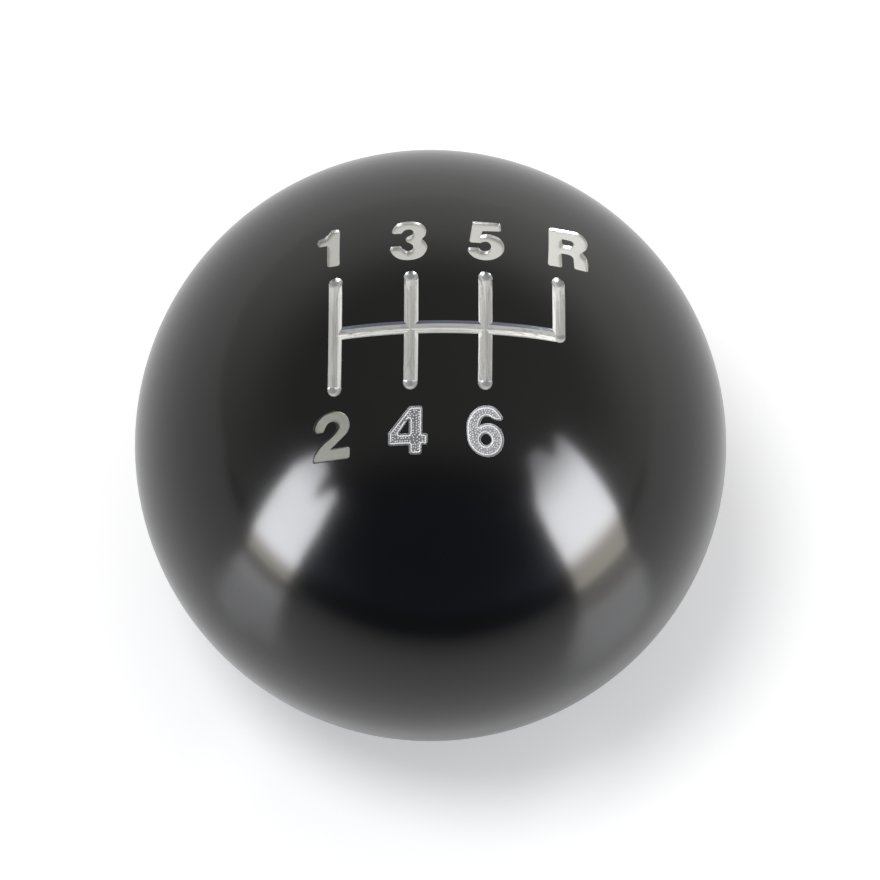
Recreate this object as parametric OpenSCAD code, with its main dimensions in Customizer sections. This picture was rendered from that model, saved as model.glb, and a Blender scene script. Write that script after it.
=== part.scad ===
// Ball shift knob for a six-speed gearbox.
// A black ball turned from one bar of aluminium, with the shift gate milled into its crown,
// a threaded sleeve screwed up into its foot, and a set screw that stops the sleeve turning.
// Millimetres. The origin is the centre of the flat foot, +Z runs up the lever's axis, and +Y
// points to the front of the car, where the first, third, fifth and reverse gears lie.

/* [Ball] */
// Diameter of the ball
ball_d = 50.8; // [46:0.2:60]
// Diameter of the flat foot that the ball stands on
foot_d = 24; // [22:0.5:30]

/* [Shift gate] */
// Distance between neighbouring slots, measured across the skin
gate_pitch = 6.2; // [5:0.1:7]
// Travel of the cutter from neutral to a gear, measured across the skin
gate_travel = 4.75; // [4:0.05:6]
// Diameter of the ball-nose cutter
cutter_d = 1.5; // [1:0.1:2]
// Depth of the gear slots below the skin
slot_depth = 0.31; // [0.2:0.01:0.5]
// How much shallower the neutral slot is than the gear slots
neutral_rise = 0.03; // [0.02:0.01:0.08]
// How much deeper the cutter sinks where it dwells at the end of a slot
dwell_depth = 0.02; // [0.01:0.01:0.05]

/* [Socket in the ball] */
// Thread size of the tapped hole in the foot
socket_d = 16; // [15:0.5:18]
// Depth of the tapped hole
socket_depth = 24; // [20:0.5:26]
// Chamfer at the mouth of the tapped hole
socket_chamfer = 0.8; // [0.4:0.1:1.2]
// Diameter of the drilled hole beyond the tapped one, which clears the tip of the lever
drill_d = 12.6; // [12.4:0.1:14]
// Depth of the drilled hole beyond the tapped one, without its point
drill_depth = 4; // [2:0.5:6]
// Angle of the drill's point
drill_angle = 118; // [90:1:140]

/* [Sleeve] */
// Thread size of the gear lever that the sleeve takes
lever_d = 12; // [10:1:12]
// Pitch of the lever's thread
lever_pitch = 1.25; // [1:0.25:1.75]
// How far the sleeve lies above the foot
sleeve_recess = 0.5; // [0.2:0.1:1.5]
// Chamfer on the sleeve's outer and inner corners
sleeve_chamfer = 0.5; // [0.2:0.1:0.8]
// Width of the screwdriver slot across the sleeve's lower end
driver_w = 2; // [1.2:0.1:3]
// Depth of the screwdriver slot
driver_depth = 1.6; // [1:0.1:2.5]
// Depth of the turned track that the set screw presses in
track_depth = 0.7; // [0.4:0.1:1]
// Width of that track
track_w = 5.6; // [5.2:0.1:8]

/* [Set screw] */
// Thread size of the set screw
screw_d = 5; // [4:0.5:5]
// Length of the set screw
screw_l = 10; // [6:1:12]
// Height of the set screw's axis above the foot
screw_z = 8; // [7:0.5:11]
// Direction of the set screw, from the right-hand side towards the front
screw_turn = 90; // [0:5:355]
// Size of the hex key that turns it
key_af = 2.5; // [2:0.1:2.5]
// Depth of the hex socket
key_depth = 3; // [1.5:0.1:4]
// Chamfer at both ends of the set screw
screw_chamfer = 0.5; // [0.2:0.1:0.8]

/* [Fits] */
// Gap on each side between a screw thread and its hole
thread_gap = 0.05; // [0.03:0.01:0.1]

/* [Hidden] */
$fn = 96;

// How far a cutting shape runs past the face that it cuts
past = 1;

ball_r = ball_d / 2;
foot_r = foot_d / 2;
ball_z = sqrt(ball_r * ball_r - foot_r * foot_r);

cutter_r = cutter_d / 2;
// The cutter's centre stays on these spheres round the ball's centre
slot_path_r = ball_r - slot_depth + cutter_r;
neutral_path_r = slot_path_r + neutral_rise;
dwell_path_r = slot_path_r - dwell_depth;

// Each column of the gate: its place across the ball, then its ends as shares of the travel,
// where -1 is pulled back, 0 is neutral and 1 is pushed forward; reverse lies a little further
gate_columns = [[-1.5, -1, 1], [-0.5, -1, 1], [0.5, -1, 1], [1.5, 0, 1.05]];

socket_r = socket_d / 2;
drill_r = drill_d / 2;
drill_point = drill_r / tan(drill_angle / 2);

sleeve_r = socket_r - thread_gap;
sleeve_l = socket_depth - sleeve_recess;
// Crest radius of the thread in the sleeve, by the metric thread's proportions
sleeve_bore_r = (lever_d - 1.0825 * lever_pitch) / 2;
track_r = sleeve_r - track_depth;

screw_r = screw_d / 2 - thread_gap;
screw_seat_r = track_r + thread_gap;

// The cutter's nose swept along an arc round the X axis, between two angles from straight up
module swept_nose(path_r, from, to) {
    rotate([0, -90, 0]) rotate(from)
        rotate_extrude(angle = to - from) translate([path_r, 0]) circle(cutter_r);
}

// Angle of the cutter's centre from straight up, for a place across a path of that radius
function path_angle(across, path_r) = asin(across / path_r);

// Radius of the circle that a path on a sphere follows, in a plane that far from its centre
function slice_r(sphere_r, off) = sqrt(sphere_r * sphere_r - off * off);

// Where the cutter's centre lies when the groove under it is at that place on the skin
function over_skin(place, path_r) = place * path_r / ball_r;

module gear_slot(column) {
    off = over_skin(column[0] * gate_pitch, slot_path_r);
    back = over_skin(column[1] * gate_travel, slot_path_r);
    front = over_skin(column[2] * gate_travel, slot_path_r);
    path_r = slice_r(slot_path_r, off);
    translate([off, 0, ball_z])
        swept_nose(path_r, path_angle(back, path_r), path_angle(front, path_r));
}

module neutral_slot() {
    reach = path_angle(1.5 * gate_pitch, ball_r);
    translate([0, 0, ball_z]) rotate(-90) swept_nose(neutral_path_r, -reach, reach);
}

// The dimple that the cutter leaves at one end of a gear slot
module slot_end(column, share) {
    off = over_skin(column[0] * gate_pitch, dwell_path_r);
    across = over_skin(share * gate_travel, dwell_path_r);
    translate([off, across, ball_z + slice_r(slice_r(dwell_path_r, off), across)])
        sphere(cutter_r);
}

module shift_gate() {
    for (column = gate_columns) gear_slot(column);
    neutral_slot();
    for (column = gate_columns) for (share = [column[1], column[2]]) slot_end(column, share);
}

// Half of the ball's section, as it is turned: the round, less its foot and what is bored out
module ball_section() {
    difference() {
        translate([0, ball_z]) circle(ball_r);
        // The half across the axis
        translate([-ball_d, -ball_d]) square([ball_d, 3 * ball_d]);
        // The waste below the foot
        translate([-past, -ball_d]) square([ball_d, ball_d]);
        socket_section();
    }
}

// The tapped hole, its mouth and the drilled hole beyond it
module socket_section() {
    polygon([
        [-past, -past],
        [socket_r + socket_chamfer + past, -past],
        [socket_r, socket_chamfer],
        [socket_r, socket_depth],
        [drill_r, socket_depth],
        [drill_r, socket_depth + drill_depth],
        [0, socket_depth + drill_depth + drill_point],
        [-past, socket_depth + drill_depth + drill_point]]);
}

module ball() {
    color("#1c1c1d") difference() {
        rotate_extrude() ball_section();
        screw_hole();
        shift_gate();
    }
}

// The tapped hole for the set screw, from the socket out through the skin
module screw_hole() {
    rotate(screw_turn) translate([socket_r - past, 0, screw_z])
        rotate([0, 90, 0]) cylinder(h = ball_r, d = screw_d);
}

module sleeve() {
    color("#b08d4c") translate([0, 0, sleeve_recess]) difference() {
        rotate_extrude() polygon([
            [sleeve_bore_r + sleeve_chamfer, 0],
            [sleeve_r - sleeve_chamfer, 0],
            [sleeve_r, sleeve_chamfer],
            [sleeve_r, screw_z - sleeve_recess - track_w / 2],
            [track_r, screw_z - sleeve_recess - track_w / 2 + track_depth],
            [track_r, screw_z - sleeve_recess + track_w / 2 - track_depth],
            [sleeve_r, screw_z - sleeve_recess + track_w / 2],
            [sleeve_r, sleeve_l - sleeve_chamfer],
            [sleeve_r - sleeve_chamfer, sleeve_l],
            [sleeve_bore_r + sleeve_chamfer, sleeve_l],
            [sleeve_bore_r, sleeve_l - sleeve_chamfer],
            [sleeve_bore_r, sleeve_chamfer]]);
        translate([-sleeve_r - past, -driver_w / 2, -past])
            cube([2 * (sleeve_r + past), driver_w, driver_depth + past]);
    }
}

module set_screw() {
    color("#3a3a3c") rotate(screw_turn) translate([screw_seat_r, 0, screw_z]) rotate([0, 90, 0])
        difference() {
            rotate_extrude() polygon([
                [0, 0],
                [screw_r - screw_chamfer, 0],
                [screw_r, screw_chamfer],
                [screw_r, screw_l - screw_chamfer],
                [screw_r - screw_chamfer, screw_l],
                [0, screw_l]]);
            translate([0, 0, screw_l - key_depth])
                cylinder(h = key_depth + past, d = key_af / cos(30), $fn = 6);
        }
}

ball();
sleeve();
set_screw();
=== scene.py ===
import math
import random

import bmesh
import bpy
from mathutils import Matrix, Vector
from mathutils.geometry import interpolate_bezier
from mathutils.kdtree import KDTree


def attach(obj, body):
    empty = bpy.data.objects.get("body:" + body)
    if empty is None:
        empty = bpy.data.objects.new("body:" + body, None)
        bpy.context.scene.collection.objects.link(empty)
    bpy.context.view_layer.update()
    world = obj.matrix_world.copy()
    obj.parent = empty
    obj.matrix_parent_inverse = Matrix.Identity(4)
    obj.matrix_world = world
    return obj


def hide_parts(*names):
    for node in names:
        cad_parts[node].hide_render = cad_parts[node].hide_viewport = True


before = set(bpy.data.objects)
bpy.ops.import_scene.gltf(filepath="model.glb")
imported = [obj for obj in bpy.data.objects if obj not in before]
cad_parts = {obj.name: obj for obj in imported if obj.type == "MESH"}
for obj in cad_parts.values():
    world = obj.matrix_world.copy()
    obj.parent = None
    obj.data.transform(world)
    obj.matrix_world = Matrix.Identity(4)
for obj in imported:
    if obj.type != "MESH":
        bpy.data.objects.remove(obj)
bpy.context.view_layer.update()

mm = 0.001  # every piece is modelled in mm and brought to metres when it is finished
past = 1.0  # mm by which a cutting shape runs past the face that it cuts


# Small helpers for nodes, colours and objects

def linear(hexColour):
    channels = [int(hexColour[i:i + 2], 16) / 255 for i in (1, 3, 5)]
    return [c / 12.92 if c <= 0.04045 else ((c + 0.055) / 1.055) ** 2.4 for c in channels] + [1.0]


def addNode(tree, kind, inputs=None, **settings):
    node = tree.nodes.new(kind)
    for name, value in settings.items():
        setattr(node, name, value)
    for socket, value in (inputs or {}).items():
        if isinstance(value, bpy.types.NodeSocket):
            tree.links.new(value, node.inputs[socket])
        else:
            node.inputs[socket].default_value = value
    return node


def newMaterial(name):
    material = bpy.data.materials.new(name)
    material.use_nodes = True
    material.node_tree.nodes.clear()
    return material, material.node_tree


def newObject(name, bm, *materials):
    mesh = bpy.data.meshes.new(name)
    bm.to_mesh(mesh)
    bm.free()
    for material in materials:
        mesh.materials.append(material)
    thing = bpy.data.objects.new(name, mesh)
    bpy.context.scene.collection.objects.link(thing)
    return thing


# Materials

def blackAnodised():
    # Black dyed anodising on turned aluminium: near-black, with the even satin gloss of its sealed skin
    material, tree = newMaterial("black anodised aluminium")
    where = addNode(tree, "ShaderNodeTexCoord").outputs["Object"]
    # Clouds of 4 mm and a skin of 0.2 mm
    cloud = addNode(tree, "ShaderNodeTexNoise", {"Vector": where, "Scale": 260.0, "Detail": 3.0})
    skin = addNode(tree, "ShaderNodeTexNoise", {"Vector": where, "Scale": 5000.0, "Detail": 2.0})
    rough = addNode(tree, "ShaderNodeMapRange", {
        "Value": cloud.outputs["Fac"], "To Min": 0.13, "To Max": 0.17})
    bump = addNode(tree, "ShaderNodeBump", {
        "Height": skin.outputs["Fac"], "Strength": 0.05, "Distance": 0.01 * mm})
    tint = addNode(tree, "ShaderNodeMix", {
        "Factor": cloud.outputs["Fac"], "A": linear("#050505"), "B": linear("#070707")},
        data_type="RGBA")
    shader = addNode(tree, "ShaderNodeBsdfPrincipled", {
        "Base Color": tint.outputs["Result"], "Roughness": rough.outputs["Result"], "IOR": 1.5,
        "Normal": bump.outputs["Normal"]})
    addNode(tree, "ShaderNodeOutputMaterial", {"Surface": shader.outputs[0]})
    return material


def milledAluminium(name, streaks, roughest):
    # Bare aluminium where the cutter went through the anodising: bright, with fine streaks on its path
    material, tree = newMaterial(name)
    where = addNode(tree, "ShaderNodeTexCoord").outputs["Object"]
    along = addNode(tree, "ShaderNodeMapping", {"Vector": where, "Scale": streaks})
    marks = addNode(tree, "ShaderNodeTexNoise", {
        "Vector": along.outputs[0], "Scale": 1.0, "Detail": 3.0}).outputs["Fac"]
    rough = addNode(tree, "ShaderNodeMapRange", {"Value": marks, "To Min": 0.1, "To Max": roughest})
    bump = addNode(tree, "ShaderNodeBump", {"Height": marks, "Strength": 0.7, "Distance": 0.03 * mm})
    lines = addNode(tree, "ShaderNodeMapRange", {"Value": marks, "From Min": 0.5, "From Max": 0.7})
    tint = addNode(tree, "ShaderNodeMix", {
        "Factor": lines.outputs["Result"], "A": linear("#fdfdfc"), "B": linear("#d6d6d3")},
        data_type="RGBA")
    shader = addNode(tree, "ShaderNodeBsdfPrincipled", {
        "Base Color": tint.outputs["Result"], "Metallic": 1.0, "Roughness": rough.outputs["Result"],
        "Normal": bump.outputs["Normal"]})
    addNode(tree, "ShaderNodeOutputMaterial", {"Surface": shader.outputs[0]})
    return material


def mattAluminium(name, colour, roughest, metallic=1.0):
    # Aluminium cut by the end of a small cutter: even, pale and finely mottled metal. Less than fully
    # metallic, it scatters the lamp as torn metal does.
    material, tree = newMaterial(name)
    where = addNode(tree, "ShaderNodeTexCoord").outputs["Object"]
    # Grain of 0.2 mm and haze of 0.8 mm
    grain = addNode(tree, "ShaderNodeTexNoise", {"Vector": where, "Scale": 4500.0, "Detail": 2.0})
    haze = addNode(tree, "ShaderNodeTexNoise", {"Vector": where, "Scale": 1200.0})
    rough = addNode(tree, "ShaderNodeMapRange", {
        "Value": haze.outputs["Fac"], "To Min": roughest - 0.1, "To Max": roughest})
    bump = addNode(tree, "ShaderNodeBump", {
        "Height": grain.outputs["Fac"], "Strength": 0.4, "Distance": 0.02 * mm})
    shader = addNode(tree, "ShaderNodeBsdfPrincipled", {
        "Base Color": linear(colour), "Metallic": metallic, "Roughness": rough.outputs["Result"],
        "Normal": bump.outputs["Normal"]})
    addNode(tree, "ShaderNodeOutputMaterial", {"Surface": shader.outputs[0]})
    return material


def turnedBrass():
    # Free-cutting brass off the lathe: yellow metal with fine rings about the axis
    material, tree = newMaterial("turned brass")
    where = addNode(tree, "ShaderNodeTexCoord").outputs["Object"]
    # Rings of about 0.17 mm of feed a turn, and haze of 1 mm
    rings = addNode(tree, "ShaderNodeTexWave", {"Vector": where, "Scale": 900.0, "Distortion": 0.6},
                    wave_type="RINGS", rings_direction="Z")
    haze = addNode(tree, "ShaderNodeTexNoise", {"Vector": where, "Scale": 900.0})
    rough = addNode(tree, "ShaderNodeMapRange", {
        "Value": haze.outputs["Fac"], "To Min": 0.22, "To Max": 0.34})
    bump = addNode(tree, "ShaderNodeBump", {
        "Height": rings.outputs["Fac"], "Strength": 0.25, "Distance": 0.01 * mm})
    shader = addNode(tree, "ShaderNodeBsdfPrincipled", {
        "Base Color": linear("#d9b676"), "Metallic": 1.0, "Roughness": rough.outputs["Result"],
        "Normal": bump.outputs["Normal"]})
    addNode(tree, "ShaderNodeOutputMaterial", {"Surface": shader.outputs[0]})
    return material


def blackenedSteel():
    # Black oxide on a steel screw: dark, slightly oily grey with a soft metal sheen
    material, tree = newMaterial("black oxide steel")
    where = addNode(tree, "ShaderNodeTexCoord").outputs["Object"]
    # Haze of 0.4 mm
    haze = addNode(tree, "ShaderNodeTexNoise", {"Vector": where, "Scale": 2500.0, "Detail": 3.0})
    rough = addNode(tree, "ShaderNodeMapRange", {
        "Value": haze.outputs["Fac"], "To Min": 0.36, "To Max": 0.52})
    tint = addNode(tree, "ShaderNodeMix", {
        "Factor": haze.outputs["Fac"], "A": linear("#2b2b2d"), "B": linear("#3c3c3f")},
        data_type="RGBA")
    shader = addNode(tree, "ShaderNodeBsdfPrincipled", {
        "Base Color": tint.outputs["Result"], "Metallic": 0.8, "Roughness": rough.outputs["Result"]})
    addNode(tree, "ShaderNodeOutputMaterial", {"Surface": shader.outputs[0]})
    return material


anodised = blackAnodised()
# Streaks every 0.2 mm or so across the cutter's path, and 20 mm long
gearMetal = milledAluminium("milled aluminium along the gears", (5000, 50, 5000), 0.36)
neutralMetal = milledAluminium("milled aluminium across neutral", (50, 5000, 5000), 0.24)
paleMetal = mattAluminium("matt milled aluminium", "#d8d8d5", 0.42, 0.85)
# Copy of the matt aluminium for the 1, darker than the pale one: its colour is painted shade
shadedMetalOne = mattAluminium("milled aluminium with painted shade for the 1", "#c6c6c2", 0.42, 0.85)
# Copy for the 2, much darker: its colour is painted shade
shadedMetalTwo = mattAluminium("milled aluminium with painted shade for the 2", "#86867f", 0.42)
# Copy for the floor of the 4, darker: its colour is painted shade; it is also less rough and fully
# metallic
shadedMetalFour = mattAluminium("milled aluminium with painted shade for the 4", "#acacae", 0.36)
# Copy for the floor of the 6 and the ends of the gear slots, a little darker: its colour is painted
# shade; it is also less rough and fully metallic
shadedMetalSixAndEnds = mattAluminium("clear milled aluminium", "#cacacc", 0.36)
beadMetal = mattAluminium("bright milled beads", "#f8f8f8", 0.34, 0.1)
brass = turnedBrass()
blackSteel = blackenedSteel()
print("materials made")

# Making solids: turned blanks, threaded rods and cuts
turnedSeam = 0.0001  # mm within which the two ends of a full turn are joined
threadSeam = 0.001  # and the turns of a thread


def turned(section, steps):
    # A section in the XZ plane, turned once round the Z axis
    bm = bmesh.new()
    corners = [bm.verts.new((x, 0, z)) for x, z in section]
    sides = [bm.edges.new(pair) for pair in zip(corners, corners[1:])]
    bmesh.ops.spin(bm, geom=corners + sides, axis=(0, 0, 1), angle=math.tau, steps=steps,
                   use_merge=True)
    bmesh.ops.remove_doubles(bm, verts=bm.verts, dist=turnedSeam)
    bmesh.ops.recalc_face_normals(bm, faces=bm.faces)
    return bm


def threadedRod(crest, root, pitch, low, high, steps):
    # One turn of a metric thread's flank, wound up the Z axis, then trimmed and capped
    turns = math.ceil((high - low) / pitch) + 2
    bm = bmesh.new()
    shape = [(root, 0), (root, pitch / 8), (crest, pitch * 7 / 16), (crest, pitch * 9 / 16),
             (root, pitch * 7 / 8), (root, pitch)]
    corners = [bm.verts.new((x, 0, low - 1.5 * pitch + z)) for x, z in shape]
    sides = [bm.edges.new(pair) for pair in zip(corners, corners[1:])]
    bmesh.ops.spin(bm, geom=corners + sides, axis=(0, 0, 1), dvec=(0, 0, pitch / steps),
                   angle=math.tau * turns, steps=steps * turns)
    bmesh.ops.remove_doubles(bm, verts=bm.verts, dist=threadSeam)
    for height, side in ((low, -1), (high, 1)):
        everything = bm.verts[:] + bm.edges[:] + bm.faces[:]
        bmesh.ops.bisect_plane(bm, geom=everything, plane_co=(0, 0, height), plane_no=(0, 0, side),
                               clear_outer=True)
    rims = [edge for edge in bm.edges if edge.is_boundary]
    bmesh.ops.edgeloop_fill(bm, edges=rims)
    bmesh.ops.recalc_face_normals(bm, faces=bm.faces)
    return bm


def combine(piece, other, operation="DIFFERENCE"):
    # Cuts other out of piece, or keeps what the two share, and drops other
    step = piece.modifiers.new("combine", "BOOLEAN")
    step.operation = operation
    step.solver = "EXACT"
    step.material_mode = "TRANSFER"
    step.object = other
    bpy.context.view_layer.update()
    graph = bpy.context.evaluated_depsgraph_get()
    shaped = bpy.data.meshes.new_from_object(piece.evaluated_get(graph))
    piece.modifiers.remove(step)
    piece.data = shaped
    bpy.data.objects.remove(other)


def finishPiece(piece, slot, *nodes):
    # Brings a piece to metres, and puts it in place of the solids that it stands for
    piece.data.transform(Matrix.Scale(mm, 4))
    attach(piece, "root")
    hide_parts(*nodes)


# The ball, in mm
ball = {
    "radius": 25.4,
    "footRadius": 12.0,
    "socketRadius": 8.0,
    "socketDepth": 24.0,
    "mouthChamfer": 0.8,
    "drillRadius": 6.3,
    "drillDepth": 4.0,
    "drillAngle": 118,
    "arcSteps": 118,
    "turnSteps": 256,
    "skinGap": 0.01,  # what lies this close to the round is skin, not a cut
}
ball["centre"] = math.sqrt(ball["radius"] ** 2 - ball["footRadius"] ** 2)


def ballSection():
    size = ball
    footAngle = math.pi - math.asin(size["footRadius"] / size["radius"])  # from straight up
    section = []
    for i in range(size["arcSteps"] + 1):
        turn = footAngle * i / size["arcSteps"]
        section.append((size["radius"] * math.sin(turn),
                        size["centre"] + size["radius"] * math.cos(turn)))
    section[-1] = (size["footRadius"], 0)
    top = size["socketDepth"] + size["drillDepth"]
    section += [
        (size["socketRadius"] + size["mouthChamfer"], 0),
        (size["socketRadius"], size["mouthChamfer"]),
        (size["socketRadius"], size["socketDepth"]),
        (size["drillRadius"], size["socketDepth"]),
        (size["drillRadius"], top),
        (0, top + size["drillRadius"] / math.tan(math.radians(size["drillAngle"] / 2))),
    ]
    return section


knob = newObject("turned_ball", turned(ballSection(), ball["turnSteps"]), anodised)
print("ball turned")

# The set screw on the far side, in mm along its own axis, and the tapped hole that it turns in
setScrew = {
    "radius": 2.45,
    "root": 2.0,
    "pitch": 0.8,
    "gap": 0.07,  # between its thread and the hole's
    "seat": 7.3,
    "length": 10.0,
    "holeLength": 16.2,
    "height": 8.0,
    "chamfer": 0.5,
    "keyFlats": 2.5,
    "keyDepth": 3.0,
    "crestLap": 0.02,  # the thread is cut this much wider, so that the blank trims its crests
    "turnSteps": 64,
    "threadSteps": 32,
}
screwLay = Matrix.Translation((0, setScrew["seat"], setScrew["height"])) @ Matrix.Rotation(
    math.radians(-90), 4, "X")


def screwHole():
    size = setScrew
    bm = threadedRod(size["radius"] + size["gap"], size["root"] + size["gap"], size["pitch"], -past,
                     size["holeLength"], size["threadSteps"])
    bm.transform(screwLay)
    return bm


combine(knob, newObject("screw hole", screwHole(), anodised))
print("screw hole tapped")

# The shift gate: a ball-nose cutter run along arcs round the ball's centre
gate = {
    "pitch": 6.2,
    "travel": 4.75,
    "cutterRadius": 0.75,
    "depth": 0.31,
    "neutralRise": 0.005,  # the neutral slot is this much shallower
    "dwell": 0.01,  # and the ends of the gear slots this much deeper, where the cutter dwells
    # Each column's place in pitches, and its back and front ends in travels
    "columns": [(-1.5, -1, 1), (-0.5, -1, 1), (0.5, -1, 1), (1.5, 0, 1.05)],
    "lean": 0.017,  # the milled gate isn't quite square: its columns lean to the right
    "climb": 0.006,  # and the neutral slot climbs that way
    "noseSteps": 12,  # the nose left flats that run along the slots
    "endSteps": 64,
    "stepLength": 0.25,  # mm of travel for each step of a sweep
}


def noseSweep(bm, start, end):
    # The cutter's round nose, carried over the ball from start to end in an upright plane
    travel = end - start
    axis = Vector((-travel.y, travel.x, 0)).normalized()
    ballCentre = Vector((0, 0, ball["centre"]))
    pathCentre = ballCentre + axis * (start - ballCentre).dot(axis)
    spoke = start - pathCentre
    turn = spoke.angle(end - pathCentre)
    facing = axis.cross(spoke).to_track_quat("Z", "Y").to_matrix().to_4x4()
    ring = bmesh.ops.create_circle(bm, segments=gate["noseSteps"], radius=gate["cutterRadius"],
                                   matrix=Matrix.Translation(start) @ facing)["verts"]
    sides = list({edge for corner in ring for edge in corner.link_edges})
    steps = max(4, math.ceil(turn * spoke.length / gate["stepLength"]))
    last = bmesh.ops.spin(bm, geom=ring + sides, cent=pathCentre, axis=axis, angle=turn, steps=steps)
    bmesh.ops.edgeloop_fill(bm, edges=sides)
    lastSides = [part for part in last["geom_last"] if isinstance(part, bmesh.types.BMEdge)]
    bmesh.ops.edgeloop_fill(bm, edges=lastSides)


def overSkin(x, y, radius):
    # The point that far from the ball's centre, over a place on its skin as seen from above
    skin = Vector((x, y, math.sqrt(ball["radius"] ** 2 - x * x - y * y)))
    return Vector((0, 0, ball["centre"])) + skin * radius / ball["radius"]


def gatePoint(x, y, radius):
    # The same for the gate, with its lean and climb
    return overSkin(x + y * gate["lean"], y + x * gate["climb"], radius)


def gateCutters():
    pathRadius = ball["radius"] - gate["depth"] + gate["cutterRadius"]
    slots, neutral, ends = bmesh.new(), bmesh.new(), bmesh.new()
    for place, back, front in gate["columns"]:
        x = place * gate["pitch"]
        low, high = back * gate["travel"], front * gate["travel"]
        noseSweep(slots, gatePoint(x, high, pathRadius), gatePoint(x, low, pathRadius))
        for y in (low, high):
            bmesh.ops.create_uvsphere(
                ends, u_segments=gate["endSteps"], v_segments=gate["endSteps"] // 2,
                radius=gate["cutterRadius"],
                matrix=Matrix.Translation(gatePoint(x, y, pathRadius - gate["dwell"])))
    reach = 1.5 * gate["pitch"]
    shallow = pathRadius + gate["neutralRise"]
    noseSweep(neutral, gatePoint(-reach, 0, shallow), gatePoint(reach, 0, shallow))
    for bm in (slots, neutral, ends):
        bmesh.ops.recalc_face_normals(bm, faces=bm.faces)
    # The slot ends take a darker copy of the matt metal, whose colour is painted shade
    return (slots, gearMetal), (neutral, neutralMetal), (ends, shadedMetalSixAndEnds)


for number, (cutter, metal) in enumerate(gateCutters()):
    combine(knob, newObject(f"gate cutter {number}", cutter, metal))
print("shift gate milled")

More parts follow.
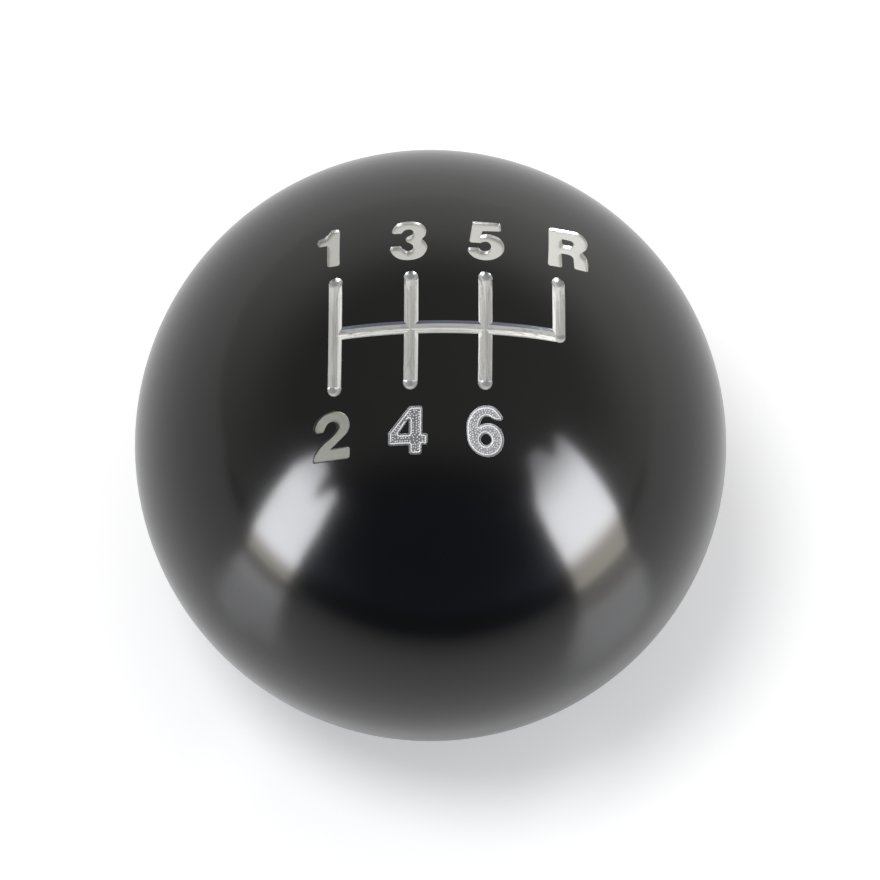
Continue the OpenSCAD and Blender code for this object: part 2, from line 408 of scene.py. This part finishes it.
# The figures, as pockets with a flat floor and walls that lean a little. Places are in mm from the
# crown, seen from above with the front of the car up. A point with a third number is a corner,
# rounded to that radius, and the outline runs smoothly through the others.
figures = {
    "depth": 0.3,  # at a figure's middle, and less at its ends, where the ball falls away
    "draft": 0.07,
    "above": 0.5,  # the cutter ends this far over the skin
    "spacing": 0.09,  # of the points along a curve
    "straight": 0.02,  # radians of bend under which a side is drawn straight
    # Figures 1, 2, 4 and 6 take darker copies of the pale metal, whose colours are painted shade
    "metals": {"1": shadedMetalOne, "2": shadedMetalTwo, "4": shadedMetalFour, "6": shadedMetalSixAndEnds},
    "outlines": {
        "1": [[(-9.88, 6.53, 0.2), (-8.87, 6.53, 0.2), (-8.73, 10.53, 0.2), (-9.42, 10.53, 0.12),
               (-9.62, 10.22), (-9.95, 9.87), (-10.3, 9.7), (-10.5, 9.67, 0.15), (-10.67, 9.2, 0.2),
               (-10.47, 8.85, 0.15), (-9.83, 8.85, 0)]],
        "3": [[(-4.47, 9.6), (-4.2, 10.22), (-3.7, 10.58), (-3.1, 10.67), (-2.35, 10.56), (-1.85, 10.2),
               (-1.63, 9.6), (-1.74, 9.05), (-2.02, 8.66, 0), (-1.75, 8.3), (-1.6, 7.75), (-1.95, 6.95),
               (-2.45, 6.6), (-3.1, 6.47), (-3.85, 6.58), (-4.38, 6.98), (-4.68, 7.62),
               (-4.6, 7.97, 0.16),
               (-3.82, 7.97, 0.16), (-3.6, 7.65), (-3.2, 7.42), (-2.82, 7.62), (-2.78, 7.98), (-3, 8.22),
               (-3.25, 8.37), (-3.36, 8.64), (-3.22, 8.94), (-2.93, 9.07), (-2.7, 9.38), (-2.8, 9.68),
               (-3.1, 9.77), (-3.45, 9.65), (-3.7, 9.33, 0.16), (-4.42, 9.33, 0.16)]],
        "5": [[(2.33, 10.75, 0.2), (4.68, 10.75, 0.22), (4.7, 9.82, 0.22), (3.1, 9.7, 0.05),
               (2.98, 9.25, 0), (3.6, 9.38), (4.4, 9.1), (4.75, 8.7), (4.88, 8.1), (4.75, 7.5),
               (4.35, 7), (3.8, 6.67), (3.1, 6.56), (2.5, 6.68), (2.05, 7), (1.78, 7.48),
               (1.85, 7.83, 0.16), (2.68, 7.83, 0.16), (2.85, 7.64), (3.15, 7.52), (3.55, 7.65),
               (3.76, 8.02), (3.65, 8.4), (3.35, 8.55), (3, 8.45), (2.9, 8.37, 0), (1.93, 8.37, 0.16)]],
        "R": [[(8.56, 6.82, 0.18), (9.8, 6.84, 0.18), (9.8, 8.38, 0), (10.5, 8.38), (10.8, 8.15),
               (10.85, 7.75), (10.85, 6.97, 0.18), (12.08, 6.97, 0.18), (12.08, 7.9), (12, 8.5),
               (11.65, 9, 0), (11.95, 9.35), (12.13, 9.75), (12.17, 10.2), (12.05, 10.68), (11.72, 11.1),
               (11.2, 11.27), (8.82, 11.12, 0.2)],
              [(9.92, 10.05, 0.05), (9.92, 9.43, 0.05), (10.93, 9.45, 0.28), (10.97, 10.05, 0.28)]],
        "2": [[(-11.08, -7.65), (-11.05, -8.17, 0.2), (-10.28, -8.17, 0.16), (-10.12, -7.85),
               (-9.92, -7.53),
               (-9.55, -7.43), (-9.18, -7.88), (-9.4, -8.3), (-9.8, -8.65), (-10.4, -9.05),
               (-10.85, -9.5), (-11.1, -9.98), (-11.12, -10.38, 0.16), (-8.1, -10.42, 0.18),
               (-8.1, -9.5, 0.18), (-9.65, -9.5, 0), (-8.62, -8.67), (-8.27, -8.3), (-8.13, -7.8),
               (-8.28, -7.25), (-8.6, -6.87), (-9.05, -6.65), (-9.6, -6.58), (-10.28, -6.74),
               (-10.78, -7.12)]],
        "4": [[(-3.23, -6.72, 0.25), (-2.17, -6.72, 0.18), (-2.17, -8.88, 0), (-1.73, -8.88, 0.17),
               (-1.73, -9.77, 0.17), (-2.2, -9.77, 0), (-2.2, -10.5, 0.2), (-3.24, -10.5, 0.2),
               (-3.26, -9.77, 0), (-4.97, -9.77, 0.18), (-4.97, -8.76, 0.18)],
              [(-3.28, -7.72, 0.03), (-3.28, -8.87, 0.03), (-4.12, -8.87, 0.03)]],
        "6": [[(3.3, -6.61), (3.68, -6.66), (4, -6.85), (4.36, -7.24), (4.56, -7.52, 0.15),
               (4.38, -7.74, 0.16), (4, -7.74), (3.65, -7.63), (3.38, -7.5), (3.08, -7.49), (2.8, -7.66),
               (2.66, -7.93), (2.57, -8.23, 0), (3.1, -8.02), (3.7, -8.04), (4.2, -8.3), (4.5, -8.7),
               (4.62, -9.2), (4.5, -9.8), (4.12, -10.3), (3.6, -10.55), (3.1, -10.6), (2.5, -10.45),
               (2, -10.1), (1.65, -9.6), (1.5, -8.9), (1.52, -8), (1.72, -7.5), (2.12, -7),
               (2.65, -6.7)],
              [(3.57, -9.28), (3.12, -9.72), (2.67, -9.28), (3.12, -8.84)]],
    },
}


def outlineKnots(outline):
    # Each smooth point gives one knot, and each rounded corner the two ends of its rounding
    knots = []
    for i, point in enumerate(outline):
        here = Vector(point[:2])
        before = Vector(outline[i - 1][:2])
        after = Vector(outline[(i + 1) % len(outline)][:2])
        if len(point) == 2:
            knots.append((here, (after - before).normalized(), (after - before).normalized()))
            continue
        arriving, leaving = (here - before).normalized(), (after - here).normalized()
        if not point[2]:
            knots.append((here, arriving, leaving))
            continue
        reach = point[2] * math.tan(arriving.angle(leaving) / 2)
        knots.append((here - arriving * reach, arriving, arriving))
        knots.append((here + leaving * reach, leaving, leaving))
    return knots


def outlinePoints(outline):
    knots = outlineKnots(outline)
    points = []
    for (start, _, leaving), (end, arriving, _) in zip(knots, knots[1:] + knots[:1]):
        gap = (end - start).length
        bend = leaving.angle(end - start) + arriving.angle(end - start)
        steps = 1 if bend < figures["straight"] else max(2, math.ceil(gap / figures["spacing"]))
        handle = gap / 3
        curve = interpolate_bezier(start, start + leaving * handle, end - arriving * handle, end,
                                   steps + 1)
        points += [Vector(point[:2]) for point in curve[:-1]]
    return points


def middleOf(outline):
    across, along = [point[0] for point in outline], [point[1] for point in outline]
    return (min(across) + max(across)) / 2, (min(along) + max(along)) / 2


def floorPoint(x, y, middle):
    # The point of a figure's flat floor below a place on the skin
    centre = Vector((0, 0, ball["centre"]))
    square = (overSkin(*middle, 1) - centre).normalized()
    spoke = (overSkin(x, y, 1) - centre).normalized()
    return centre + spoke * (ball["radius"] - figures["depth"]) / spoke.dot(square)


def pocketCutter(outlines):
    # Flat first: the floor shrinks by the draft, and the outline rises past the skin
    bm = bmesh.new()
    for outline in outlines:
        corners = [bm.verts.new((point.x, point.y, 0)) for point in outlinePoints(outline)]
        for pair in zip(corners, corners[1:] + corners[:1]):
            bm.edges.new(pair)
    outer = bm.edges[:]
    bmesh.ops.triangle_fill(bm, use_beauty=True, edges=outer)
    floor = bm.faces[:]
    bmesh.ops.recalc_face_normals(bm, faces=floor)
    bmesh.ops.inset_region(bm, faces=floor, thickness=figures["draft"], use_boundary=True,
                           use_even_offset=True)
    sunk = {corner for face in floor for corner in face.verts}
    rim = [edge for edge in bm.edges if edge.is_boundary]
    raised = bmesh.ops.extrude_edge_only(bm, edges=rim)["geom"]
    lid = [part for part in raised if isinstance(part, bmesh.types.BMEdge) and part.is_boundary]
    for corner in {corner for edge in lid for corner in edge.verts}:
        corner.co.z = figures["above"]
    bmesh.ops.triangle_fill(bm, use_beauty=True, edges=lid)
    bmesh.ops.recalc_face_normals(bm, faces=bm.faces)
    middle = middleOf(outlines[0])
    for corner in bm.verts:  # then set over the ball
        x, y, rise = corner.co
        if corner in sunk:
            corner.co = floorPoint(x, y, middle)
        else:
            corner.co = overSkin(x, y, ball["radius"] + rise)
    return bm


for figure, outlines in figures["outlines"].items():
    metal = figures["metals"].get(figure, paleMetal)
    combine(knob, newObject(f"figure {figure}", pocketCutter(outlines), metal))
print("figures milled")

# On two floors a ball-nose cutter ran round and round inside the outline, and left rows of small beads
beads = {
    "figures": "46",
    "width": 0.13,
    "rise": 0.08,
    "pitch": 0.18,
    "firstRow": 0.17,  # from the outline
    "rowPitch": 0.17,
    "rows": 8,
    "edging": 2.3,  # the beads of the first row are this much longer, and run into a line
    "uneven": 0.02,
    "seed": 4,
    "domeSteps": (8, 6),
    "tryEvery": 0.04,  # places are tried this far apart along a row
    "slack": 0.01,  # and may lie this much too close to a wall
    "cornerAngle": 0.3,  # a sharper bend, in radians, is a corner
    "cornerTurns": 12,  # and this many directions are tried there
}


def evenPlaces(loop, step):
    places = []
    for here, following in zip(loop, loop[1:] + loop[:1]):
        count = max(1, round((following - here).length / step))
        places += [here.lerp(following, i / count) for i in range(count)]
    return places


def headings(loop):
    # Each point of an outline with its direction, and at a corner the directions between
    for before, here, following in zip(loop[-1:] + loop[:-1], loop, loop[1:] + loop[:1]):
        arriving, leaving = (here - before).normalized(), (following - here).normalized()
        turns = beads["cornerTurns"] if arriving.angle(leaving) > beads["cornerAngle"] else 1
        for i in range(turns):
            yield here, arriving.lerp(leaving, (i + 1) / turns).normalized()


def beadPlaces(outlines):
    # Rows that follow the outlines inwards, each bead clear of the walls and of the beads before it
    loops = [evenPlaces(outlinePoints(outline), beads["tryEvery"]) for outline in outlines]
    walls = KDTree(sum(len(loop) for loop in loops))
    for loop in loops:
        for point in loop:
            walls.insert((*point, 0), 0)
    walls.balance()
    places, laid = [], {}
    for row in range(beads["rows"]):
        inset = beads["firstRow"] + row * beads["rowPitch"]
        for loop in loops:
            area = sum(here.cross(following) for here, following in zip(loop, loop[1:] + loop[:1]))
            side = inset if (area > 0) == (loop is loops[0]) else -inset
            for here, along in headings(loop):
                place = here + Vector((-along.y, along.x)) * side
                if walls.find((*place, 0))[2] < inset - beads["slack"]:
                    continue
                column, line = (math.floor(part / beads["pitch"]) for part in place)
                close = [other for i in (-1, 0, 1) for j in (-1, 0, 1)
                         for other in laid.get((column + i, line + j), [])]
                if all((place - other).length > beads["pitch"] for other in close):
                    laid.setdefault((column, line), []).append(place)
                    places.append((place, along, row))
    return places


def layBeads(piece):
    around, upwards = beads["domeSteps"]
    dome = bmesh.new()
    bmesh.ops.create_uvsphere(dome, u_segments=around, v_segments=upwards, radius=1)
    bead = bpy.data.meshes.new("bead")
    dome.to_mesh(bead)
    dome.free()
    bm = bmesh.new()
    jitter = random.Random(beads["seed"])
    size = Matrix.Diagonal((beads["width"] / 2, beads["width"] / 2, beads["rise"], 1))
    for figure in beads["figures"]:
        outlines = figures["outlines"][figure]
        middle = middleOf(outlines[0])
        turn = (overSkin(*middle, 1) - overSkin(0, 0, 0)).to_track_quat("Z", "Y").to_matrix().to_4x4()
        for place, along, row in beadPlaces(outlines):
            uneven = beads["uneven"] if row else 0
            x, y = (part + jitter.uniform(-1, 1) * uneven for part in place)
            longer = Matrix.Scale(1 if row else beads["edging"], 4, (1, 0, 0))
            swing = Matrix.Rotation(math.atan2(along.y, along.x), 4, "Z")
            put = Matrix.Translation(floorPoint(x, y, middle)) @ turn @ swing @ longer @ size
            bead.transform(put)
            bm.from_mesh(bead)
            bead.transform(put.inverted())
    piece.data.materials.append(beadMetal)
    for face in bm.faces:
        face.material_index = len(piece.data.materials) - 1
    bm.from_mesh(piece.data)
    bm.to_mesh(piece.data)
    bm.free()
    bpy.data.meshes.remove(bead)


layBeads(knob)
print("beads laid on the floors of", beads["figures"])

creaseAngle = 28  # degrees past which an edge is shaded sharp


def creasePiece(piece):
    # Smooth but for the corners, and for the edges where one cutter's work meets another's
    bm = bmesh.new()
    bm.from_mesh(piece.data)
    for face in bm.faces:
        face.smooth = True
    for edge in bm.edges:
        sides = edge.link_faces
        edge.smooth = (len(sides) == 2 and sides[0].material_index == sides[1].material_index
                       and edge.calc_face_angle(0) < math.radians(creaseAngle))
    bm.to_mesh(piece.data)
    bm.free()


def shadeBall(piece):
    # The ball's skin is shaded as a true sphere round its centre
    creasePiece(piece)
    mesh = piece.data
    centre = Vector((0, 0, ball["centre"]))
    normals = [Vector(corner.vector) for corner in mesh.corner_normals]
    for face in mesh.polygons:
        away = [(mesh.vertices[i].co - centre).length for i in face.vertices]
        if all(abs(reach - ball["radius"]) < ball["skinGap"] for reach in away):
            for i in face.loop_indices:
                normals[i] = (mesh.vertices[mesh.loops[i].vertex_index].co - centre).normalized()
    mesh.normals_split_custom_set(normals)


shadeBall(knob)
finishPiece(knob, "black_anodised", "ball")
print("ball finished:", len(knob.data.polygons), "faces")

# The sleeve in the foot, in mm, with the thread that the gear lever takes
sleeve = {
    "radius": 7.95,
    "low": 0.5,
    "high": 24.0,
    "chamfer": 0.5,
    "leverRadius": 6.0,
    "leverPitch": 1.25,
    "threadShare": 1.0825,  # what a metric thread takes off the diameter, in pitches
    "mouthWidth": 1.1,  # of the cones that open the ends of the thread
    "mouthDepth": 0.8,
    "mouthLap": 0.1,
    "driverWidth": 2.0,
    "driverDepth": 1.6,
    "trackMiddle": 8.0,
    "trackWidth": 5.6,
    "trackDepth": 0.7,
    "turnSteps": 128,
    "threadSteps": 48,
}


def box(bm, low, high):
    # A block between two corners
    middle = [(a + b) / 2 for a, b in zip(low, high)]
    size = [b - a for a, b in zip(low, high)]
    bmesh.ops.create_cube(bm, size=1, matrix=Matrix.Translation(middle) @ Matrix.Diagonal((*size, 1)))


def makeSleeve():
    size = sleeve
    crest = size["leverRadius"] - size["threadShare"] * size["leverPitch"] / 2
    chamfer, track, half = size["chamfer"], size["trackDepth"], size["trackWidth"] / 2
    low, high, middle, outer = size["low"], size["high"], size["trackMiddle"], size["radius"]
    section = [
        (0, low), (crest, low), (outer - chamfer, low), (outer, low + chamfer),
        (outer, middle - half), (outer - track, middle - half + track),
        (outer - track, middle + half - track), (outer, middle + half),
        (outer, high - chamfer), (outer - chamfer, high), (crest, high), (0, high),
    ]
    piece = newObject("threaded_sleeve", turned(section, size["turnSteps"]), brass)
    wide, narrow = size["leverRadius"] + size["mouthWidth"], crest - size["mouthLap"]
    mouths = [(0, low - past), (wide, low - past), (narrow, low + size["mouthDepth"]),
              (narrow, high - size["mouthDepth"]), (wide, high + past), (0, high + past)]
    rod = threadedRod(size["leverRadius"], crest, size["leverPitch"], low - 2 * past, high + 2 * past,
                      size["threadSteps"])
    combine(piece, newObject("lever thread", rod, brass))
    combine(piece, newObject("thread mouths", turned(mouths, size["turnSteps"]), brass))
    slot = bmesh.new()
    side = size["driverWidth"] / 2
    box(slot, (-outer - past, -side, low - past), (outer + past, side, low + size["driverDepth"]))
    combine(piece, newObject("driver slot", slot, brass))
    creasePiece(piece)
    return piece


finishPiece(makeSleeve(), "brass", "sleeve")
print("sleeve cut")


def makeSetScrew():
    size = setScrew
    radius, length, chamfer = size["radius"], size["length"], size["chamfer"]
    blank = [(0, 0), (radius - chamfer, 0), (radius, chamfer), (radius, length - chamfer),
             (radius - chamfer, length), (0, length)]
    piece = newObject("hex_set_screw", turned(blank, size["turnSteps"]), blackSteel)
    rod = threadedRod(radius + size["crestLap"], size["root"], size["pitch"], -past, length + past,
                      size["threadSteps"])
    combine(piece, newObject("screw thread", rod, blackSteel), "INTERSECT")
    keyRadius = size["keyFlats"] / 2 / math.cos(math.pi / 6)
    key = bmesh.new()
    bmesh.ops.create_cone(key, cap_ends=True, segments=6, radius1=keyRadius, radius2=keyRadius,
                          depth=size["keyDepth"] + past,
                          matrix=Matrix.Translation((0, 0, length + (past - size["keyDepth"]) / 2)))
    combine(piece, newObject("hex key", key, blackSteel))
    piece.data.transform(screwLay)
    creasePiece(piece)
    return piece


finishPiece(makeSetScrew(), "black_steel", "set_screw")
print("set screw cut")

# The camera, as the photograph's: high in front of the knob, a little to the left, and slightly rolled
view = {
    "azimuth": -8.532,
    "elevation": 66.92,
    "roll": -8.559,
    "distance": 0.635,  # from the ball's centre
    "ballAt": (430.57, 445.49),  # the ball's centre in the picture, in pixels from its top left
    "ballPixels": 295.7,  # radius of the ball's outline
    "picture": 880,
    "sensor": 36,
    "nearest": 0.01,  # metres from which the camera sees
}


def makeCamera():
    azimuth, elevation, roll = (math.radians(view[name]) for name in ("azimuth", "elevation", "roll"))
    back = Vector((math.sin(azimuth) * math.cos(elevation), -math.cos(azimuth) * math.cos(elevation),
                   math.sin(elevation)))
    level = Vector((math.cos(azimuth), math.sin(azimuth), 0))
    across = math.cos(roll) * level - math.sin(roll) * back.cross(level)
    upright = back.cross(across)
    camera = bpy.data.objects.new("camera", bpy.data.cameras.new("camera"))
    bpy.context.scene.collection.objects.link(camera)
    middle = Vector((0, 0, ball["centre"] * mm))
    camera.matrix_world = Matrix.Translation(middle + back * view["distance"]) @ Matrix(
        (across, upright, back)).transposed().to_4x4()
    radius = ball["radius"] * mm
    pixels = view["ballPixels"] * math.sqrt(view["distance"] ** 2 - radius ** 2) / radius
    camera.data.sensor_width = view["sensor"]
    camera.data.lens = pixels * view["sensor"] / view["picture"]
    camera.data.shift_x = (view["picture"] / 2 - view["ballAt"][0]) / view["picture"]
    camera.data.shift_y = (view["ballAt"][1] - view["picture"] / 2) / view["picture"]
    camera.data.clip_start = view["nearest"]
    bpy.context.scene.camera = camera


makeCamera()

# Light: two upright soft boxes close in front, a pale wall behind and round the sides, and a dim
# room in front. Lengths of the boxes are in mm, and a box's corners are given across and up.
light = {
    "boxColour": "#fafbff",
    "boxDistance": 200.0,
    "footShare": 0.36,  # a box is dim and warm under its foot heights
    "footColour": "#eae4da",
    "boxes": [
        {"azimuth": -56, "radiance": 17.0, "topShare": 0.55, "fade": (110, 195), "foot": (10, 34),
         "corners": [(-20, 0), (38, 0), (40, 92), (34, 158), (24, 168), (11, 122), (-2, 182),
                     (-32, 193), (-40, 136), (-26, 44)]},
        {"azimuth": 58, "radiance": 18.0, "topShare": 0.22, "fade": (110, 225), "foot": (28, 60),
         "corners": [(-46, 0), (23, 0), (38, 98), (55, 200), (54, 223), (20, 190), (12, 240),
                     (-12, 246), (-50, 155), (-53, 100)]},
    ],
    "wallColour": "#fffefa",
    "roomColour": "#d3deff",
    "wall": [(-0.95, 0.18), (-0.75, 0.48), (0.0, 0.68), (0.8, 1.05)],  # level by how far back it lies
    "wallTop": (0.05, 0.6),  # it fades out between these heights, which lie higher at the back
    "wallRise": 0.25,
    "rightShare": 0.2,
    "overRoom": 0.15,
    "overhead": 0.4,
    "overheadFrom": (-0.6, -0.3),  # how far back it is dim, and full
    "roomTintFrom": (-0.4, -0.8),  # how far back the room's colour begins, and is full
    "sky": 0.6,  # what lights the floor: an even sky and a soft lamp almost overhead
    "lamp": 1.3,
    "lampToward": (-0.27, -0.03, 0.963),
    "lampSpread": 20,
    "floorColour": "#eeeeee",
    "floorRoughness": 0.2,
    "floorGlow": 0.32,
    "floorGap": 0.05,  # mm under the foot
    "floorRadius": 6,  # metres
    "dimColour": "#333436",  # the floor in front, as metal and gloss mirror it
    "dimFrom": (-0.22, -0.05),  # metres back from the knob, between which it changes
    "dimShare": (1.0, 0.25),
}


def makeSoftBoxes():
    for number, size in enumerate(light["boxes"]):
        azimuth = math.radians(size["azimuth"])
        outward = Vector((math.sin(azimuth), -math.cos(azimuth), 0)) * light["boxDistance"]
        rightward = Vector((math.cos(azimuth), math.sin(azimuth), 0))
        material, tree = newMaterial(f"soft box {number}")
        where = addNode(tree, "ShaderNodeTexCoord").outputs["Object"]
        height = addNode(tree, "ShaderNodeSeparateXYZ", {"Vector": where}).outputs["Z"]
        low, high = (edge * mm for edge in size["fade"])
        level = addNode(tree, "ShaderNodeMapRange", {
            "Value": height, "From Min": low, "From Max": high, "To Min": size["radiance"],
            "To Max": size["radiance"] * size["topShare"]}, interpolation_type="SMOOTHSTEP")
        low, high = (edge * mm for edge in size["foot"])
        clear = addNode(tree, "ShaderNodeMapRange", {
            "Value": height, "From Min": low, "From Max": high}, interpolation_type="SMOOTHSTEP")
        share = addNode(tree, "ShaderNodeMapRange", {
            "Value": height, "From Min": low, "From Max": high, "To Min": light["footShare"]},
            interpolation_type="SMOOTHSTEP")
        strength = addNode(tree, "ShaderNodeMath", {
            0: level.outputs["Result"], 1: share.outputs["Result"]}, operation="MULTIPLY")
        colour = addNode(tree, "ShaderNodeMix", {
            "Factor": clear.outputs["Result"], "A": linear(light["footColour"]),
            "B": linear(light["boxColour"])}, data_type="RGBA")
        shader = addNode(tree, "ShaderNodeEmission", {
            "Color": colour.outputs["Result"], "Strength": strength.outputs[0]})
        addNode(tree, "ShaderNodeOutputMaterial", {"Surface": shader.outputs[0]})
        bm = bmesh.new()
        corners = [outward + rightward * across + Vector((0, 0, up)) for across, up in size["corners"]]
        bm.faces.new([bm.verts.new(corner * mm) for corner in corners])
        panel = newObject(f"soft box {number}", bm, material)
        panel.visible_camera = False
        panel.visible_diffuse = False


def wallLevel(tree, backward):
    # The wall's level by direction: dim in front and brightest behind
    place = addNode(tree, "ShaderNodeMath", {0: backward, 1: 0.5, 2: 0.5}, operation="MULTIPLY_ADD")
    ramp = addNode(tree, "ShaderNodeValToRGB", {"Fac": place.outputs[0]})
    stops = ramp.color_ramp.elements
    while len(stops) < len(light["wall"]):
        stops.new(0.5)
    for stop, (back, level) in zip(stops, light["wall"]):
        stop.position = back / 2 + 0.5
        stop.color = (level, level, level, 1)
    return ramp.outputs["Color"]


def makeWorld():
    # Metal and gloss mirror the wall and the room, and an even sky lights the floor. The camera sees
    # a white background.
    world = bpy.data.worlds.new("studio")
    bpy.context.scene.world = world
    world.use_nodes = True
    tree = world.node_tree
    tree.nodes.clear()
    direction = addNode(tree, "ShaderNodeTexCoord").outputs["Generated"]
    rightward, backward, upward = addNode(tree, "ShaderNodeSeparateXYZ", {"Vector": direction}).outputs
    low, high = light["overheadFrom"]
    over = addNode(tree, "ShaderNodeMapRange", {
        "Value": backward, "From Min": low, "From Max": high, "To Min": light["overRoom"],
        "To Max": light["overhead"]}, interpolation_type="SMOOTHSTEP")
    rise = addNode(tree, "ShaderNodeMath", {0: backward, 1: -light["wallRise"], 2: upward},
                   operation="MULTIPLY_ADD")
    low, high = light["wallTop"]
    above = addNode(tree, "ShaderNodeMapRange", {
        "Value": rise.outputs[0], "From Min": low, "From Max": high}, interpolation_type="SMOOTHSTEP")
    room = addNode(tree, "ShaderNodeMix", {
        "Factor": above.outputs["Result"], "A": wallLevel(tree, backward), "B": over.outputs["Result"]})
    side = addNode(tree, "ShaderNodeMath", {0: rightward, 1: light["rightShare"], 2: 1.0},
                   operation="MULTIPLY_ADD")
    mirrored = addNode(tree, "ShaderNodeMath", {0: room.outputs["Result"], 1: side.outputs[0]},
                       operation="MULTIPLY")
    low, high = light["roomTintFrom"]
    front = addNode(tree, "ShaderNodeMapRange", {
        "Value": backward, "From Min": low, "From Max": high}, interpolation_type="SMOOTHSTEP")
    tint = addNode(tree, "ShaderNodeMix", {
        "Factor": front.outputs["Result"], "A": linear(light["wallColour"]),
        "B": linear(light["roomColour"])}, data_type="RGBA")
    seen = addNode(tree, "ShaderNodeLightPath").outputs
    level = addNode(tree, "ShaderNodeMix", {
        "Factor": seen["Is Glossy Ray"], "A": light["sky"], "B": mirrored.outputs[0]})
    colour = addNode(tree, "ShaderNodeMix", {
        "Factor": seen["Is Camera Ray"], "A": tint.outputs["Result"], "B": linear("#ffffff")},
        data_type="RGBA")
    strength = addNode(tree, "ShaderNodeMix", {
        "Factor": seen["Is Camera Ray"], "A": level.outputs["Result"], "B": 1.0})
    background = addNode(tree, "ShaderNodeBackground", {
        "Color": colour.outputs["Result"], "Strength": strength.outputs["Result"]})
    addNode(tree, "ShaderNodeOutputWorld", {"Surface": background.outputs[0]})


def makeLamp():
    # The lamp that gives the shadow its side. Gloss and metal don't mirror it.
    lamp = bpy.data.objects.new("lamp", bpy.data.lights.new("lamp", "SUN"))
    bpy.context.scene.collection.objects.link(lamp)
    lamp.data.energy = light["lamp"]
    lamp.data.angle = math.radians(light["lampSpread"])
    lamp.rotation_euler = Vector(light["lampToward"]).to_track_quat("Z", "Y").to_euler()
    lamp.visible_glossy = False


def makeFloor():
    # A white board with a glossy face, which the front of the room leaves dim in what mirrors it.
    # From below it is clear, so that the foot can be seen.
    material, tree = newMaterial("glossy white board")
    face = addNode(tree, "ShaderNodeBsdfPrincipled", {
        "Base Color": linear(light["floorColour"]), "Roughness": light["floorRoughness"]})
    glow = addNode(tree, "ShaderNodeEmission", {"Strength": light["floorGlow"]})
    lit = addNode(tree, "ShaderNodeAddShader", {0: face.outputs[0], 1: glow.outputs[0]})
    dim = addNode(tree, "ShaderNodeBsdfPrincipled", {
        "Base Color": linear(light["dimColour"]), "Roughness": light["floorRoughness"]})
    where = addNode(tree, "ShaderNodeTexCoord").outputs["Object"]
    back = addNode(tree, "ShaderNodeSeparateXYZ", {"Vector": where}).outputs["Y"]
    (low, high), (atLow, atHigh) = light["dimFrom"], light["dimShare"]
    share = addNode(tree, "ShaderNodeMapRange", {
        "Value": back, "From Min": low, "From Max": high, "To Min": atLow, "To Max": atHigh},
        interpolation_type="SMOOTHSTEP")
    seen = addNode(tree, "ShaderNodeLightPath").outputs
    room = addNode(tree, "ShaderNodeMath", {0: share.outputs["Result"], 1: seen["Is Glossy Ray"]},
                   operation="MULTIPLY")
    top = addNode(tree, "ShaderNodeMixShader", {
        0: room.outputs[0], 1: lit.outputs[0], 2: dim.outputs[0]})
    below = addNode(tree, "ShaderNodeNewGeometry").outputs["Backfacing"]
    clear = addNode(tree, "ShaderNodeMath", {0: below, 1: seen["Is Camera Ray"]}, operation="MULTIPLY")
    nothing = addNode(tree, "ShaderNodeBsdfTransparent")
    shader = addNode(tree, "ShaderNodeMixShader", {
        0: clear.outputs[0], 1: top.outputs[0], 2: nothing.outputs[0]})
    addNode(tree, "ShaderNodeOutputMaterial", {"Surface": shader.outputs[0]})
    bm = bmesh.new()
    bmesh.ops.create_circle(bm, cap_ends=True, segments=96, radius=light["floorRadius"],
                            matrix=Matrix.Translation((0, 0, -light["floorGap"] * mm)))
    board = newObject("floor", bm, material)


makeSoftBoxes()
makeWorld()
makeLamp()
makeFloor()
bpy.context.scene.view_settings.view_transform = "Standard"
print("camera, light and floor set")
